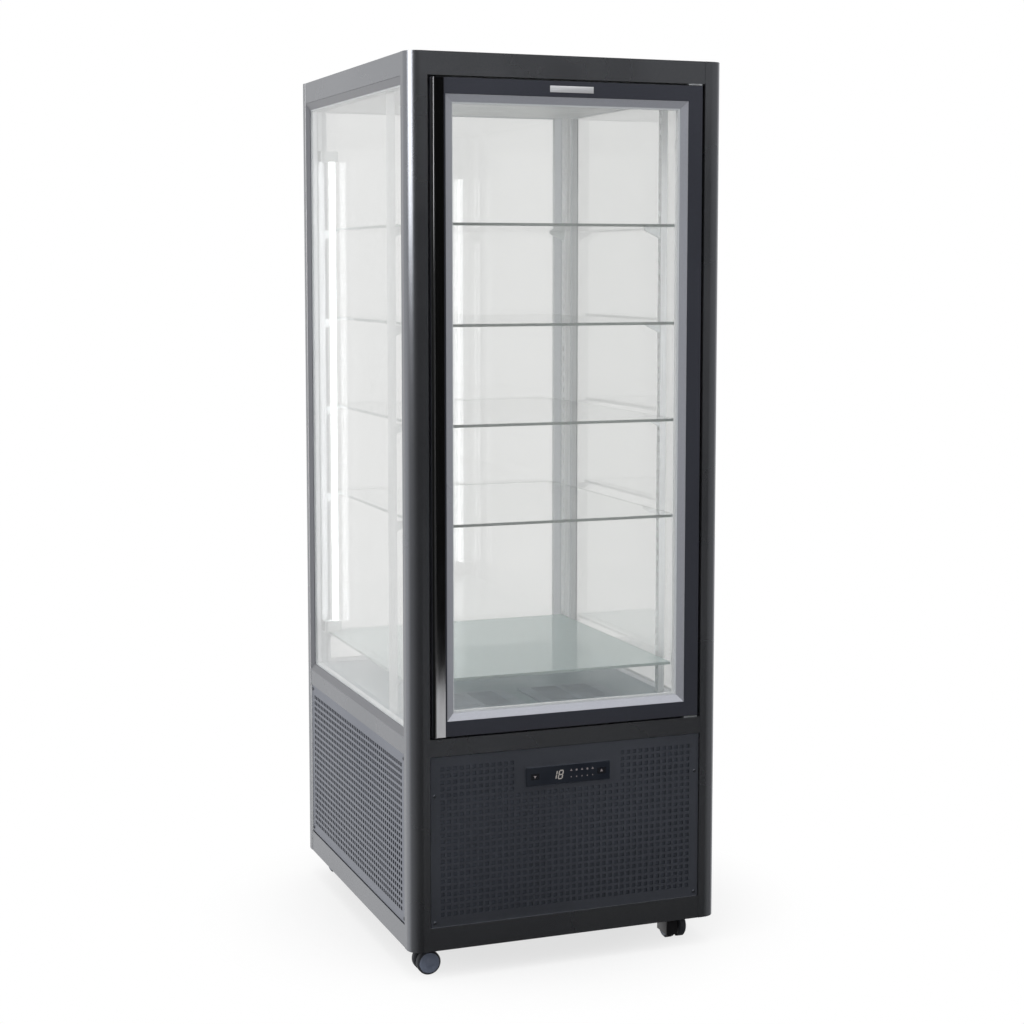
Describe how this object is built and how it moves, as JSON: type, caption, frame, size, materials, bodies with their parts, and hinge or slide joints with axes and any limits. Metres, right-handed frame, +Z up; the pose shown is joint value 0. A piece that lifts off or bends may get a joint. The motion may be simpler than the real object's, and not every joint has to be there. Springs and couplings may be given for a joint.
{
  "type": "glass door freezer",
  "caption": "Upright display freezer with glass on every side, a hinged glass door, glass shelves, a perforated machine base and swivel casters.",
  "frame": {"origin": "on the floor, in the middle of the footprint", "axes": "+X to the right seen from the door, +Y to the rear, +Z up"},
  "size_m": [0.684, 0.826, 1.86],
  "materials": {
    "frame_paint": "satin metallic",
    "door_paint": "satin",
    "panel_paint": "fine textured",
    "zinc_steel": "zinc plated",
    "black_steel": "satin black",
    "dark_chrome": "polished dark chrome",
    "clear_glass": "clear insulating glass",
    "shelf_glass": "clear toughened glass",
    "spacer_grey": "matt",
    "bead_grey": "satin",
    "seal_rubber": "matt",
    "liner_white": "satin",
    "deck_steel": "brushed",
    "grille_black": "matt",
    "bright_metal": "anodised",
    "coil_metal": "mill finish",
    "light_tube": "opal",
    "fan_plastic": "moulded",
    "terminal_plastic": "moulded",
    "controller_black": "gloss",
    "key_plastic": "gloss",
    "wheel_grey": "smooth grey rubber"
  },
  "bodies": {
    "cabinet": {"post_front_left": "frame_paint", "post_front_right": "frame_paint", "post_rear_left": "frame_paint", "post_rear_right": "frame_paint", "lower_frame": "frame_paint", "mid_frame": "frame_paint", "top_frame": "frame_paint", "roof_panel": "frame_paint", "front_panel": "panel_paint", "left_panel": "panel_paint", "right_panel": "panel_paint", "rear_cover": "panel_paint", "base_plate": "zinc_steel", "door_hinges": "zinc_steel", "caster_plates": "zinc_steel", "compressor": "black_steel", "left_glass": "clear_glass", "right_glass": "clear_glass", "rear_glass": "clear_glass", "shelf_1": "shelf_glass", "shelf_2": "shelf_glass", "shelf_3": "shelf_glass", "shelf_4": "shelf_glass", "shelf_5": "shelf_glass", "glass_spacers": "spacer_grey", "glazing_beads": "bead_grey", "ceiling_liner": "liner_white", "door_jamb": "liner_white", "insulated_tub": "liner_white", "light_holders": "liner_white", "deck": "deck_steel", "air_grilles": "grille_black", "evaporator_fan_mounts": "grille_black", "condenser_fan_mount": "grille_black", "shelf_uprights": "bright_metal", "shelf_clips": "bright_metal", "condenser": "coil_metal", "evaporator": "coil_metal", "light_tubes": "light_tube", "terminal_box": "terminal_plastic", "controller": "controller_black"},
    "door": {"door_frame": "door_paint", "door_glass": "clear_glass", "door_spacer": "spacer_grey", "door_beads": "bead_grey", "door_gasket": "seal_rubber", "door_handle": "dark_chrome"},
    "condenser_fan": {"condenser_fan": "fan_plastic"},
    "evaporator_fan_left": {"evaporator_fan_left": "fan_plastic"},
    "evaporator_fan_right": {"evaporator_fan_right": "fan_plastic"},
    "controller_key_left": {"controller_key_left": "key_plastic"},
    "controller_key_right": {"controller_key_right": "key_plastic"},
    "caster_yoke_front_left": {"caster_yoke_front_left": "black_steel"},
    "caster_wheel_front_left": {"caster_wheel_front_left": "wheel_grey"},
    "caster_yoke_front_right": {"caster_yoke_front_right": "black_steel"},
    "caster_wheel_front_right": {"caster_wheel_front_right": "wheel_grey"},
    "caster_yoke_rear_left": {"caster_yoke_rear_left": "black_steel"},
    "caster_wheel_rear_left": {"caster_wheel_rear_left": "wheel_grey"},
    "caster_yoke_rear_right": {"caster_yoke_rear_right": "black_steel"},
    "caster_wheel_rear_right": {"caster_wheel_rear_right": "wheel_grey"}
  },
  "joints": [
    {"name": "door_hinge", "type": "hinge", "parent": "cabinet", "child": "door", "pos_m": [0.278, -0.393, 1.155], "axis": [0, 0, 1], "range_deg": [0, 110], "stiffness_Nm_per_rad": 2.5, "springref_deg": -28.65},
    {"name": "condenser_fan_spin", "type": "hinge", "parent": "cabinet", "child": "condenser_fan", "pos_m": [-0.15, -0.275, 0.172], "axis": [0, 1, 0], "continuous": true},
    {"name": "evaporator_fan_left_spin", "type": "hinge", "parent": "cabinet", "child": "evaporator_fan_left", "pos_m": [-0.112, -0.133, 0.48], "axis": [0, 0, 1], "continuous": true},
    {"name": "evaporator_fan_right_spin", "type": "hinge", "parent": "cabinet", "child": "evaporator_fan_right", "pos_m": [0.112, -0.133, 0.48], "axis": [0, 0, 1], "continuous": true},
    {"name": "controller_key_left_press", "type": "slide", "parent": "cabinet", "child": "controller_key_left", "axis": [0, 1, 0], "range_m": [0, 0.0008], "stiffness_N_per_m": 600},
    {"name": "controller_key_right_press", "type": "slide", "parent": "cabinet", "child": "controller_key_right", "axis": [0, 1, 0], "range_m": [0, 0.0008], "stiffness_N_per_m": 600},
    {"name": "front_left_swivel", "type": "hinge", "parent": "cabinet", "child": "caster_yoke_front_left", "pos_m": [-0.274, -0.35, 0.05], "axis": [0, 0, 1], "continuous": true},
    {"name": "front_left_roll", "type": "hinge", "parent": "caster_yoke_front_left", "child": "caster_wheel_front_left", "pos_m": [-0.292, -0.35, 0.025], "axis": [0, -1, 0], "continuous": true},
    {"name": "front_right_swivel", "type": "hinge", "parent": "cabinet", "child": "caster_yoke_front_right", "pos_m": [0.274, -0.35, 0.05], "axis": [0, 0, 1], "continuous": true},
    {"name": "front_right_roll", "type": "hinge", "parent": "caster_yoke_front_right", "child": "caster_wheel_front_right", "pos_m": [0.274, -0.332, 0.025], "axis": [-1, 0, 0], "continuous": true},
    {"name": "rear_left_swivel", "type": "hinge", "parent": "cabinet", "child": "caster_yoke_rear_left", "pos_m": [-0.274, 0.35, 0.05], "axis": [0, 0, 1], "continuous": true},
    {"name": "rear_left_roll", "type": "hinge", "parent": "caster_yoke_rear_left", "child": "caster_wheel_rear_left", "pos_m": [-0.274, 0.368, 0.025], "axis": [-1, 0, 0], "continuous": true},
    {"name": "rear_right_swivel", "type": "hinge", "parent": "cabinet", "child": "caster_yoke_rear_right", "pos_m": [0.274, 0.35, 0.05], "axis": [0, 0, 1], "continuous": true},
    {"name": "rear_right_roll", "type": "hinge", "parent": "caster_yoke_rear_right", "child": "caster_wheel_rear_right", "pos_m": [0.274, 0.368, 0.025], "axis": [-1, 0, 0], "continuous": true}
  ]
}
